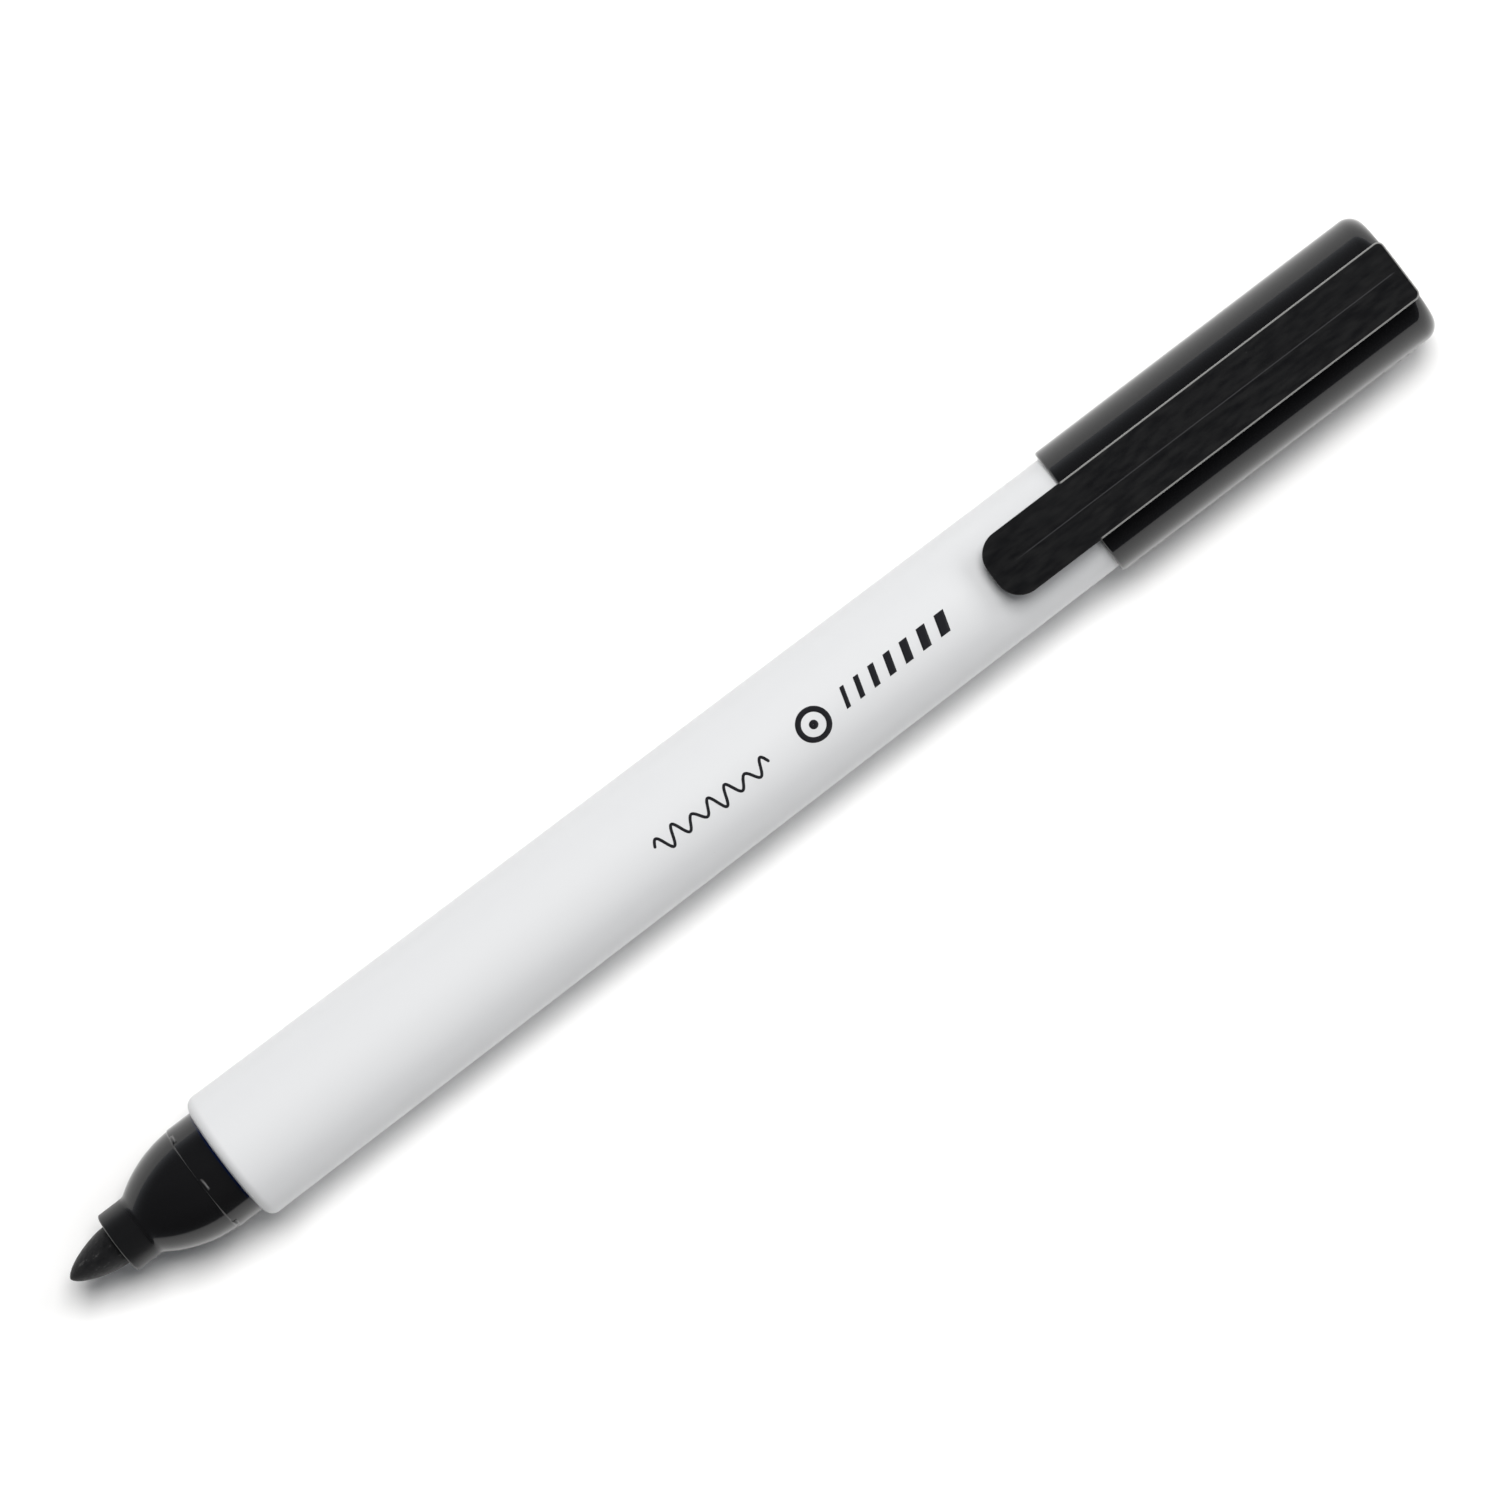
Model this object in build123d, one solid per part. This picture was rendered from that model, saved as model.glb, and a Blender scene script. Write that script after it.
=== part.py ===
from build123d import *
import os

# Bullet-nib whiteboard marker lying on its side, with its cap posted on the rear of the barrel.
# The pen's axis runs along X with the nib towards -X and the clip on top (+Z). The origin is below
# the middle of the pen, on the plane that it lies on. Millimetres throughout.

os.makedirs("parts", exist_ok=True)

# ---- overall ----
overall_length = 140.0        # nib tip to cap end, with the cap posted
cap_radius = 6.19             # outside of the cap, the widest round part
barrel_front_radius = cap_radius - 0.132
barrel_rear_radius = cap_radius - 0.646
barrel_front_wall = 0.978     # from the nose band to the barrel's outside
axis_height = cap_radius      # the pen lies on its cap
tip_x = -overall_length / 2
end_x = overall_length / 2

# ---- nib ----
nib_radius = 1.88
nib_reach = 5.0               # how far the nib stands out of the collar
nib_taper = 4.7               # length over which the bullet widens to the shank
nib_profile = ((0.06, 0.22), (0.36, 0.64), (0.71, 0.90))   # shares of the taper and of the radius
nib_point_length = 9.0        # rear point that is pushed into the reservoir
nib_shank_length = 20.0       # plain shank behind the visible tip
nib_fit = 0.02                # radial gap between the shank and the nose bore

# ---- nose section ----
collar_x = tip_x + nib_reach
collar_radius = 2.86
collar_edge = 0.20
neck_fillet = 1.0             # hollow between the collar and the dome
dome_arc = 11.6               # radius of the dome's profile
step_x = tip_x + 14.03
band_radius = barrel_front_radius - barrel_front_wall
step_height = 0.08            # the band stands this much proud of the dome
band_length = 2.52            # part of the band that stays outside the barrel
spigot_length = 12.0          # part of the nose pressed into the barrel
nose_wall = 1.15              # around the air chamber
holder_wall = 1.05            # around the front of the reservoir
air_chamber_inset = 1.2       # the chamber behind the dome starts this far behind the step
holder_length = 7.5           # sleeve that centres the front of the reservoir
snap_nub_count = 6
snap_nub_size = (0.50, 1.30)  # along the pen, around the pen
snap_nub_height = 0.10
snap_nub_set_back = 0.20        # from the step to the middle of a nub
snap_nub_turn = 5.7           # degrees from the top to the first nub

# ---- barrel ----
barrel_x = step_x + band_length
barrel_front_round = 0.95
barrel_rear_round = 0.50
barrel_wall = 0.95
barrel_end_wall = 1.5
rib_count = 6
rib_thickness = 0.8
long_rib_length = 25.0
stop_rib_length = 4.6
stop_rib_inner = 1.6

# ---- ink reservoir ----
wrap_thickness = 0.08
reservoir_fit = 0.05          # radial gap between the wrap and the ribs or holder
holder_radius = band_radius - holder_wall
reservoir_radius = holder_radius - reservoir_fit - wrap_thickness
reservoir_end_gap = 0.10

# ---- cap ----
cap_length = 33.55
cap_fit = 0.05                # radial running gap between the barrel and the posted cap
cap_mouth_round = 0.20
cap_lead_in = 0.15
cap_end_round = 1.5
cap_end_wall = 1.8
cap_hollow_radius = 5.20
cap_x = end_x - cap_length

# ---- sealing thimble inside the cap ----
seal_gap = 0.30               # barrel end to the thimble's flange
seal_fit = 0.05               # running gap between the flange and the cap shell
seal_radius = collar_radius + 0.09
seal_bead_radius = collar_radius + 0.01   # bead that closes on the nose collar
seal_bead_length = 0.5
seal_wall = 0.65
seal_flange_length = 1.2
collar_overlap = 1.50         # length of collar inside the thimble, with the cap on the nib end
nib_room = 1.10               # nib tip to the thimble's bottom, with the cap on the nib end
seal_x = cap_x + (barrel_x - collar_x) - collar_overlap
seal_bottom_x = cap_x + (barrel_x - tip_x) + nib_room
barrel_end_x = seal_x - seal_gap

# ---- clip ----
clip_length = 42.55
clip_width = 5.9
clip_end_inset = 0.05         # the clip stops this much short of the cap's end
clip_gap = 0.60               # underside to the top of the cap
clip_edge_thickness = 1.16
clip_ridge_height = 0.20      # the top rises this much from the edges to the middle
clip_tip_corner = 2.2
clip_rear_corner = 0.6
clip_tip_slope_length = 7.0
clip_tip_drop = 0.40
clip_edge_round = 0.12
bump_gap_to_barrel = 0.42     # grip bump to the barrel, with the cap posted
bump_radius = 1.5
bump_width = 3.6
bump_inset = 2.6
pivot_inset = 4.25            # pivot to the clip's rear end
pivot_depth = 0.44            # pivot below the top of the cap
pivot_radius = 1.0
pivot_width = 4.0
pivot_fit = 0.05
neck_half = 0.70
neck_play = 0.15
saddle_front, saddle_rear = 4.2, 3.4    # from the pivot
saddle_width = 5.5
saddle_gap = 0.30             # saddle to the clip's underside, so that the clip can rock
saddle_floor = 1.55           # saddle underside below the pivot

clip_end_x = end_x - clip_end_inset
clip_tip_x = clip_end_x - clip_length
clip_bottom = cap_radius + clip_gap
clip_top = clip_bottom + clip_edge_thickness + clip_ridge_height
pivot_x = clip_end_x - pivot_inset
pivot_z = cap_radius - pivot_depth


def turned(*profile):
    """Solid of revolution about the pen's axis, from a closed run of lines in (x, radius)."""
    return revolve(Plane.XZ * make_face(Wire(profile)), Axis.X)


def tube(x0, x1, outer, inner=0.0):
    """Plain or hollow round length, with outer and inner as one radius or a (start, end) pair."""
    outer0, outer1 = outer if isinstance(outer, tuple) else (outer, outer)
    inner0, inner1 = inner if isinstance(inner, tuple) else (inner, inner)
    return turned(*Polyline((x0, inner0), (x0, outer0), (x1, outer1), (x1, inner1), close=True).edges())


def rims(solid, x, radius):
    """Circular edges of the solid at one place along the pen."""
    return [e for e in solid.edges() if e.geom_type == GeomType.CIRCLE
            and abs(e.center().X - x) < 1e-3 and abs(e.radius - radius) < 1e-2]


def block(x0, x1, width, z0, z1):
    """Box across the middle plane, with heights from the pen's axis."""
    return Pos((x0 + x1) / 2, 0, (z0 + z1) / 2) * Box(x1 - x0, width, z1 - z0)


def crossbar(x, z, radius, width):
    """Round bar lying across the pen."""
    return Pos(x, 0, z) * Rot(90, 0, 0) * Cylinder(radius, width)


def barrel_radius(x):
    """Outer radius of the drafted barrel at x."""
    share = (x - barrel_x) / (barrel_end_x - barrel_x)
    return barrel_front_radius + (barrel_rear_radius - barrel_front_radius) * share


def make_nib():
    shank_x = tip_x + nib_taper
    rear_x = collar_x + nib_shank_length
    between = [(tip_x + nib_taper * along, nib_radius * out) for along, out in nib_profile]
    point = Spline((tip_x, 0), *between, (shank_x, nib_radius), tangents=[(0, 1), (1, 0)])
    back = Polyline((shank_x, nib_radius), (rear_x - nib_point_length, nib_radius),
                    (rear_x, nib_radius * 0.55), (rear_x, 0), (tip_x, 0))
    return turned(*point.edges(), *back.edges())


def make_nose():
    dome_radius = band_radius - step_height
    centre = Vector(step_x + 0.3, dome_radius - dome_arc)
    neck_x = centre.X - (dome_arc ** 2 - (collar_radius - centre.Y) ** 2) ** 0.5
    dome_top = centre.Y + (dome_arc ** 2 - (step_x - centre.X) ** 2) ** 0.5
    middle_x = (neck_x + step_x) / 2
    middle = centre.Y + (dome_arc ** 2 - (middle_x - centre.X) ** 2) ** 0.5
    spigot_end = barrel_x + spigot_length
    front = Polyline((collar_x, 0), (collar_x, collar_radius), (neck_x, collar_radius))
    dome = ThreePointArc((neck_x, collar_radius), (middle_x, middle), (step_x, dome_top))
    rear = Polyline((step_x, dome_top), (step_x, band_radius), (spigot_end, band_radius),
                    (spigot_end, 0), (collar_x, 0))
    nose = turned(*front.edges(), *dome.edges(), *rear.edges())
    nose = fillet(rims(nose, neck_x, collar_radius), neck_fillet)
    nose = fillet(rims(nose, collar_x, collar_radius), collar_edge)
    nose = fillet(rims(nose, step_x, band_radius), step_height * 0.6)
    nub = Pos(step_x + snap_nub_set_back, 0, band_radius + snap_nub_height - 0.25)
    nub *= fillet(Box(*snap_nub_size, 0.5).edges().group_by(Axis.Z)[-1], snap_nub_height)
    for n in range(snap_nub_count):
        nose += Rot(snap_nub_turn + n * 360 / snap_nub_count, 0, 0) * nub
    chamber_x = step_x + air_chamber_inset
    chamber_radius = band_radius - nose_wall
    nose -= tube(collar_x - 1, spigot_end, nib_radius + nib_fit)
    nose -= tube(chamber_x, spigot_end, chamber_radius)
    nose -= tube(spigot_end - holder_length, spigot_end + 1, holder_radius)
    return nose


def make_barrel():
    bore_end = barrel_x + spigot_length
    cavity_end = barrel_end_x - barrel_end_wall
    barrel = tube(barrel_x, barrel_end_x, (barrel_front_radius, barrel_rear_radius))
    barrel = fillet(rims(barrel, barrel_x, barrel_front_radius), barrel_front_round)
    barrel = fillet(rims(barrel, barrel_end_x, barrel_rear_radius), barrel_rear_round)
    cavity = (barrel_radius(bore_end) - barrel_wall, barrel_radius(cavity_end) - barrel_wall)
    cavity = (min(cavity[0], band_radius - 0.05), cavity[1])
    barrel -= tube(barrel_x - 1, bore_end, band_radius)
    barrel -= tube(bore_end, cavity_end, cavity)
    shell_radius = barrel_radius(cavity_end) - barrel_wall / 2
    long_rib = block(cavity_end - long_rib_length, cavity_end, rib_thickness, holder_radius, shell_radius)
    stop_rib = block(cavity_end - stop_rib_length, cavity_end + 0.2, rib_thickness,
                     stop_rib_inner, shell_radius)
    for n in range(rib_count):
        barrel += Rot(n * 360 / rib_count, 0, 0) * (long_rib + stop_rib)
    return barrel


def make_reservoir(nib):
    front_x = barrel_x + spigot_length - holder_length + reservoir_end_gap
    rear_x = barrel_end_x - barrel_end_wall - stop_rib_length - reservoir_end_gap
    core = tube(front_x, rear_x, reservoir_radius) - nib
    wrap = tube(front_x, rear_x, reservoir_radius + wrap_thickness, reservoir_radius)
    return core, wrap


def make_cap():
    flange_end = seal_x + seal_flange_length + seal_fit
    seat_radius = barrel_radius(barrel_end_x) + cap_fit
    cap = tube(cap_x, end_x, cap_radius)
    cap = fillet(rims(cap, end_x, cap_radius), cap_end_round)
    cap = fillet(rims(cap, cap_x, cap_radius), cap_mouth_round)
    cap -= tube(cap_x, barrel_end_x, (barrel_radius(cap_x) + cap_fit, seat_radius))
    cap -= tube(barrel_end_x, flange_end, seat_radius)
    cap -= tube(flange_end, end_x - cap_end_wall, cap_hollow_radius)
    cap = chamfer(rims(cap, cap_x, barrel_radius(cap_x) + cap_fit), cap_lead_in)
    saddle = block(pivot_x - saddle_front, pivot_x + saddle_rear, saddle_width,
                   pivot_z - saddle_floor, clip_bottom - saddle_gap)
    top_edges = saddle.edges().group_by(Axis.Z)[-1]
    cap += fillet(top_edges, 0.2)
    pocket_width = pivot_width + 2 * pivot_fit
    cap -= crossbar(pivot_x, pivot_z, pivot_radius + pivot_fit, pocket_width)
    throat = neck_half + neck_play
    cap -= block(pivot_x - throat, pivot_x + throat, pocket_width, pivot_z, clip_top)
    return cap


def make_seal():
    flange_radius = barrel_radius(barrel_end_x) + cap_fit - seal_fit
    flange_end = seal_x + seal_flange_length
    outer_radius = seal_radius + seal_wall
    outer_end = seal_bottom_x + seal_wall
    seal = tube(seal_x, flange_end, flange_radius) + tube(seal_x, outer_end, outer_radius)
    seal = fillet(rims(seal, outer_end, outer_radius), 0.5)
    seal -= tube(seal_x - 1, seal_bottom_x, seal_bead_radius)
    seal -= tube(seal_x + 0.3 + seal_bead_length, seal_bottom_x, seal_radius)
    return chamfer(rims(seal, seal_x, seal_bead_radius), 0.25)


def make_clip():
    plan = Pos((clip_tip_x + clip_end_x) / 2, 0) * Rectangle(clip_length, clip_width)
    corners = plan.vertices().group_by(Axis.X)
    plan = fillet(corners[0], clip_tip_corner)
    plan = fillet(plan.vertices().group_by(Axis.X)[-1], clip_rear_corner)
    slab = extrude(Pos(0, 0, clip_bottom) * plan, clip_top - clip_bottom)
    edge_z = clip_top - clip_ridge_height
    half = clip_width / 2
    gable = Polyline((-half, clip_bottom), (half, clip_bottom), (half, edge_z), (0, clip_top),
                     (-half, edge_z), close=True)
    slab &= extrude(Plane(origin=(clip_tip_x - 1, 0, 0), x_dir=(0, 1, 0), z_dir=(1, 0, 0))
                    * make_face(gable.edges()), clip_length + 2)
    slope_x = clip_tip_x + clip_tip_slope_length
    wedge = Polyline((clip_tip_x, clip_top - clip_tip_drop), (slope_x, clip_top),
                     (slope_x, clip_top + 1), (clip_tip_x - 1, clip_top + 1),
                     (clip_tip_x - 1, clip_top - clip_tip_drop), close=True)
    slab -= extrude(Plane.XZ * make_face(wedge.edges()), clip_width, both=True)
    slab = fillet(slab.edges().filter_by(Axis.X).filter_by(
        lambda e: e.center().Z > clip_bottom + 0.5 and abs(e.center().Y) > half - 0.01), clip_edge_round)
    bump_low = barrel_radius(clip_tip_x + bump_inset) + bump_gap_to_barrel
    bump = crossbar(clip_tip_x + bump_inset, bump_low + bump_radius, bump_radius, bump_width)
    bump &= block(clip_tip_x, clip_tip_x + 2 * bump_inset, clip_width, bump_low - 1, clip_bottom + 0.3)
    neck = block(pivot_x - neck_half, pivot_x + neck_half, pivot_width, pivot_z, clip_bottom + 0.3)
    return slab + bump + neck + crossbar(pivot_x, pivot_z, pivot_radius, pivot_width)


nib = make_nib()
ink_reservoir, reservoir_wrap = make_reservoir(nib)
pieces = {
    "barrel": make_barrel(),
    "nose_section": make_nose(),
    "nib": nib,
    "ink_reservoir": ink_reservoir,
    "reservoir_wrap": reservoir_wrap,
    "cap_shell": make_cap(),
    "cap_seal": make_seal(),
    "clip": make_clip(),
}
for name, piece in pieces.items():
    placed = Pos(0, 0, axis_height) * piece
    box = placed.bounding_box()
    print(name, "solids", len(placed.solids()), "volume", round(placed.volume, 2), "valid", placed.is_valid,
          "x", round(box.min.X, 3), round(box.max.X, 3), "z", round(box.min.Z, 3), round(box.max.Z, 3))
    export_step(placed, f"parts/{name}.step")
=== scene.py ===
import math

import bmesh
import bpy
import numpy as np
from mathutils import Matrix, Vector


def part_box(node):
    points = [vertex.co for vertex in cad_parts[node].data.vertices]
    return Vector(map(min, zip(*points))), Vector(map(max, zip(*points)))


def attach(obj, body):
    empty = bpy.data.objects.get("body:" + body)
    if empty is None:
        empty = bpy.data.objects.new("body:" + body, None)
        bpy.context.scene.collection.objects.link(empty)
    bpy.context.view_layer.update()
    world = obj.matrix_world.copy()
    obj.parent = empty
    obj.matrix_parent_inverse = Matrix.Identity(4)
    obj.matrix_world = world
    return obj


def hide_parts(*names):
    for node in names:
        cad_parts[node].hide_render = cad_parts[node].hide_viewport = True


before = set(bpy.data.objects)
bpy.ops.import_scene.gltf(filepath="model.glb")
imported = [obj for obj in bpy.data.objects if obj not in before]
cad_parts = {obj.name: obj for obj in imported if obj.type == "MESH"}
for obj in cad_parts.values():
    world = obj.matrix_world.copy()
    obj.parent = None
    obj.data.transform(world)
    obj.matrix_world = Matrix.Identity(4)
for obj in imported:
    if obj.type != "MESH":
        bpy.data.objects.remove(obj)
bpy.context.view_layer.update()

# Whiteboard marker lying on a pale table, cap posted on the rear of the barrel and clip on top.
# Lengths in the settings are millimetres; the meshes are metres in the engineering model's frame.
mm = 0.001
scene = bpy.context.scene
axisZ = sum(corner[2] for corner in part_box("cap_seal")) / 2 / mm   # height of the pen's axis
capRadius = axisZ                                                 # the pen lies on its cap


def span(node):
    # first and last place of a node along the pen, in millimetres
    low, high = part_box(node)
    return low[0] / mm, high[0] / mm


def arcPoints(centreX, centreR, radius, startDeg, endDeg, steps):
    # points on a circle: centre + radius * (cos, sin) of evenly spaced angles, each with no rounding
    angle = np.radians(np.linspace(startDeg, endDeg, steps + 1))
    return np.column_stack([centreX + radius * np.cos(angle), centreR + radius * np.sin(angle),
                            np.zeros(steps + 1)])


def softCorners(corners, closed, steps=8, hold=0.03):
    # a run of straight lines given as (x, r, rounding). A rounded corner becomes an arc that touches both
    # lines at rounding / tan(half its angle) from the corner, with one point held before and after it
    corners = np.array(corners, float)
    run = []
    for i, (x, r, rounding) in enumerate(corners):
        here = np.array([x, r])
        if rounding == 0 or (not closed and i in (0, len(corners) - 1)):
            run.append(here[None])
            continue
        back = corners[i - 1, :2] - here
        ahead = corners[(i + 1) % len(corners), :2] - here
        back, ahead = back / np.linalg.norm(back), ahead / np.linalg.norm(ahead)
        half = np.arccos(np.clip(back @ ahead, -1, 1)) / 2
        reach = rounding / np.tan(half)
        middle = here + (back + ahead) / np.linalg.norm(back + ahead) * rounding / np.sin(half)
        first = np.arctan2(*(here + back * reach - middle)[::-1])
        last = np.arctan2(*(here + ahead * reach - middle)[::-1])
        turn = (last - first + np.pi) % (2 * np.pi) - np.pi
        angle = first + turn * np.linspace(0, 1, steps + 1)
        bend = middle + rounding * np.column_stack([np.cos(angle), np.sin(angle)])
        run += [(here + back * (reach + hold))[None], bend, (here + ahead * (reach + hold))[None]]
    return np.vstack(run)


def stitch(rows, columns, wrapRows, wrapColumns):
    # four-cornered faces between neighbouring rows and columns of a grid of points
    row, column = np.meshgrid(np.arange(rows if wrapRows else rows - 1),
                              np.arange(columns if wrapColumns else columns - 1), indexing="ij")
    nextRow, nextColumn = (row + 1) % rows, (column + 1) % columns
    return np.stack([row * columns + column, row * columns + nextColumn,
                     nextRow * columns + nextColumn, nextRow * columns + column], axis=-1).reshape(-1, 4)


def roundPen(x, radius, turn):
    # points about the pen's axis: x is kept, y = radius * sin(turn), z = axis height + radius * cos(turn)
    return np.stack([x, radius * np.sin(turn), axisZ + radius * np.cos(turn)], axis=-1)


def turned(run, closed, sides=192, lumps=None):
    # surface of revolution: the run's points at evenly spaced turns, with lumps(x, turn, radius) added to
    # the radius
    turn = np.linspace(0, 2 * np.pi, sides, endpoint=False)
    x, radius = np.repeat(run[:, :1], sides, 1), np.repeat(run[:, 1:2], sides, 1)
    if lumps is not None:
        radius = np.where(radius > 1e-6, radius + lumps(x, turn[None], radius), 0)
    return roundPen(x, radius, turn).reshape(-1, 3), stitch(len(run), sides, closed, True)


def closedPad(top, under):
    # two grids of points, one above the other, joined by a wall round their edge
    rows, columns = top.shape[:2]
    index = np.arange(rows * columns).reshape(rows, columns)
    faces = stitch(rows, columns, False, False)
    rim = np.concatenate([index[0, :-1], index[:-1, -1], index[-1, :0:-1], index[:0:-1, 0]])
    ahead = np.roll(rim, -1)
    wall = np.column_stack([rim, ahead, ahead + index.size, rim + index.size])
    return (np.vstack([top.reshape(-1, 3), under.reshape(-1, 3)]),
            np.vstack([faces, faces[:, ::-1] + index.size, wall]))


def gathered(*shells):
    # several shells as one list of points and faces
    starts = np.cumsum([0] + [len(points) for points, _ in shells])
    return (np.vstack([points for points, _ in shells]),
            np.vstack([faces + start for (_, faces), start in zip(shells, starts)]))


def addPiece(name, shell, material, body=None, nodes=(), marks=None):
    # points and faces as a smooth mesh with closed poles and seams, faces outwards, tied to its CAD body.
    # marks gives a value at each point, kept as an attribute for the material
    points, faces = shell
    mesh = bpy.data.meshes.new(name)
    mesh.from_pydata((points * mm).tolist(), [], faces.tolist())
    for label, values in (marks or {}).items():
        mesh.attributes.new(label, "FLOAT", "POINT").data.foreach_set("value", values)
    work = bmesh.new()
    work.from_mesh(mesh)
    bmesh.ops.remove_doubles(work, verts=work.verts, dist=2e-7)
    bmesh.ops.dissolve_degenerate(work, edges=work.edges, dist=1e-7)
    bmesh.ops.recalc_face_normals(work, faces=work.faces)
    work.to_mesh(mesh)
    work.free()
    mesh.shade_smooth()
    mesh.materials.append(material)
    piece = bpy.data.objects.new(name, mesh)
    scene.collection.objects.link(piece)
    if body:
        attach(piece, body)
    if nodes:
        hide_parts(*nodes)
    return piece


def newGroup(name, inputs, outputs):
    # an empty shader group with named number inputs and value outputs
    tree = bpy.data.node_groups.new(name, "ShaderNodeTree")
    for label, start in inputs.items():
        tree.interface.new_socket(label, in_out="INPUT", socket_type="NodeSocketFloat").default_value = start
    for label in outputs:
        tree.interface.new_socket(label, in_out="OUTPUT", socket_type="NodeSocketFloat")
    return tree, tree.nodes.new("NodeGroupInput"), tree.nodes.new("NodeGroupOutput")


def addNode(tree, kind, links=(), **values):
    # a node with its properties, then its sockets: links is (socket, what feeds it)
    node = tree.nodes.new(kind)
    for key, value in values.items():
        setattr(node, key, value)
    for socket, source in dict(links).items():
        if isinstance(source, bpy.types.NodeSocket):
            tree.links.new(source, node.inputs[socket])
        else:
            node.inputs[socket].default_value = source
    return node


def rescale(tree, value, fromLow, fromHigh, toLow, toHigh):
    # value carried from one range to another with a smooth start and end, and clamped
    return addNode(tree, "ShaderNodeMapRange", {"Value": value, "From Min": fromLow, "From Max": fromHigh,
                                                "To Min": toLow, "To Max": toHigh},
                   interpolation_type="SMOOTHSTEP").outputs[0]


def maths(tree, operation, first, second=0.0):
    return addNode(tree, "ShaderNodeMath", {0: first, 1: second}, operation=operation).outputs[0]


def buildMouldedSkin():
    # injection-moulded surface: fine grain, slow flow marks along the pen and sparse specks of dust
    tree, given, result = newGroup("mouldedSkin", {"Grain Scale": 6000, "Flow Scale": 70, "Speck Scale": 1500,
                                                   "Speck Share": 0.1}, ["Grain", "Flow", "Specks"])
    place = addNode(tree, "ShaderNodeTexCoord").outputs["Object"]
    grain = addNode(tree, "ShaderNodeTexNoise", {"Vector": place, "Scale": given.outputs["Grain Scale"],
                                                 "Detail": 3.0, "Roughness": 0.6})
    along = addNode(tree, "ShaderNodeMapping", {"Vector": place, "Scale": (0.25, 1.0, 1.0)})
    flow = addNode(tree, "ShaderNodeTexNoise", {"Vector": along.outputs[0], "Detail": 4.0, "Roughness": 0.5,
                                                "Scale": given.outputs["Flow Scale"]})
    speck = addNode(tree, "ShaderNodeTexVoronoi", {"Vector": place, "Scale": given.outputs["Speck Scale"]})
    size = maths(tree, "MULTIPLY", given.outputs["Speck Share"], 0.6)
    near = maths(tree, "LESS_THAN", speck.outputs["Distance"], size)
    lot = addNode(tree, "ShaderNodeSeparateColor", {0: speck.outputs["Color"]}).outputs[0]
    few = maths(tree, "GREATER_THAN", lot, 0.86)      # one cell in seven holds a speck
    tree.links.new(grain.outputs[0], result.inputs["Grain"])
    tree.links.new(rescale(tree, flow.outputs[0], 0.2, 0.8, 0.0, 1.0), result.inputs["Flow"])
    tree.links.new(maths(tree, "MULTIPLY", near, few), result.inputs["Specks"])
    return tree


def buildFibreFelt():
    # bonded fibre: packed grains a tenth of a millimetre across, with short streaks along the pen
    tree, given, result = newGroup("fibreFelt", {"Grain Scale": 7000, "Streak Scale": 3000},
                                   ["Height", "Shade"])
    place = addNode(tree, "ShaderNodeTexCoord").outputs["Object"]
    grain = addNode(tree, "ShaderNodeTexVoronoi", {"Vector": place, "Scale": given.outputs["Grain Scale"],
                                                   "Randomness": 1.0}, feature="SMOOTH_F1")
    along = addNode(tree, "ShaderNodeMapping", {"Vector": place, "Scale": (0.3, 1.0, 1.0)})
    streak = addNode(tree, "ShaderNodeTexNoise", {"Vector": along.outputs[0], "Detail": 5.0, "Roughness": 0.7,
                                                  "Scale": given.outputs["Streak Scale"]})
    lump = maths(tree, "SUBTRACT", 1.0, grain.outputs["Distance"])
    height = maths(tree, "ADD", maths(tree, "MULTIPLY", lump, 0.5), streak.outputs[0])
    tree.links.new(height, result.inputs["Height"])
    tree.links.new(rescale(tree, streak.outputs[0], 0.35, 0.7, 0.0, 1.0), result.inputs["Shade"])
    return tree


def newMaterial(name):
    # a material with its Principled shader, ready for links
    material = bpy.data.materials.new(name)
    material.use_nodes = True
    return material, material.node_tree, material.node_tree.nodes["Principled BSDF"]


def blendColours(tree, mask, under, over):
    # under where the mask is 0 and over where it is 1: each is a colour or a socket that gives one
    under, over = (end if isinstance(end, bpy.types.NodeSocket) else (*end, 1) for end in (under, over))
    return addNode(tree, "ShaderNodeMix", {"Factor": mask, 6: under, 7: over}, data_type="RGBA").outputs[2]


def placeAlong(tree):
    # x, y and z of each point of the piece, in metres
    place = addNode(tree, "ShaderNodeTexCoord").outputs["Object"]
    return addNode(tree, "ShaderNodeSeparateXYZ", {0: place}).outputs


mouldedSkin, fibreFelt = buildMouldedSkin(), buildFibreFelt()


def plastic(name, look):
    # moulded plastic: colour follows the flow marks, roughness the flow and the dust, bump the grain
    material, tree, shader = newMaterial(name)
    skin = addNode(tree, "ShaderNodeGroup", node_tree=mouldedSkin)
    for label in ("Grain Scale", "Flow Scale", "Speck Scale", "Speck Share"):
        skin.inputs[label].default_value = look[label]
    clean = blendColours(tree, skin.outputs["Flow"], look["dark"], look["light"])
    colour = blendColours(tree, maths(tree, "MULTIPLY", skin.outputs["Specks"], look["dustCover"]), clean,
                          look["dust"])
    roughness = rescale(tree, skin.outputs["Flow"], 0, 1, look["smooth"], look["rough"])
    roughness = maths(tree, "MAXIMUM", roughness, maths(tree, "MULTIPLY", skin.outputs["Specks"], 0.7))
    bump = addNode(tree, "ShaderNodeBump", {"Height": skin.outputs["Grain"], "Strength": look["grainDepth"],
                                            "Distance": look["grainHeight"] * mm})
    tree.links.new(colour, shader.inputs["Base Color"])
    tree.links.new(roughness, shader.inputs["Roughness"])
    tree.links.new(bump.outputs[0], shader.inputs["Normal"])
    shader.inputs["IOR"].default_value = look["ior"]
    shader.inputs["Specular IOR Level"].default_value = look.get("shine", 0.5)
    return material, tree, shader, colour, roughness


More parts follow.
